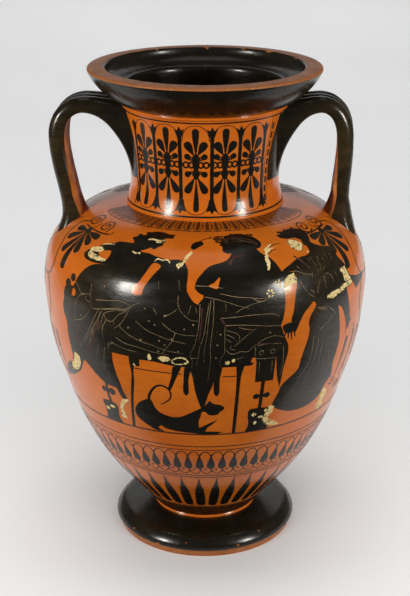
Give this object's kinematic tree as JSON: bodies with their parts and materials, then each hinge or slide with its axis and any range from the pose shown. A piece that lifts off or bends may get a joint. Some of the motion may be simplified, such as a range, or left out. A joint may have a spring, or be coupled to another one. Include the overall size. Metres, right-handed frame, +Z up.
{
  "type": "black-figure neck amphora",
  "caption": "Hollow painted clay jar with an ovoid body, a set-off neck, a wide mouth, a disc foot and strap handles.",
  "frame": {"origin": "centre of the resting ring under the foot", "axes": "+Z up along the axis of the pot, handles on +X and -X, the main picture faces -Y"},
  "size_m": [0.272, 0.272, 0.41],
  "materials": {
    "clay": "burnished orange fired clay",
    "black_gloss": "glossy greenish-black slip",
    "added_white": "matt cream slip, flaking",
    "added_red": "matt dark red slip"
  },
  "bodies": {
    "root": {"amphora": "clay"}
  },
  "joints": []
}
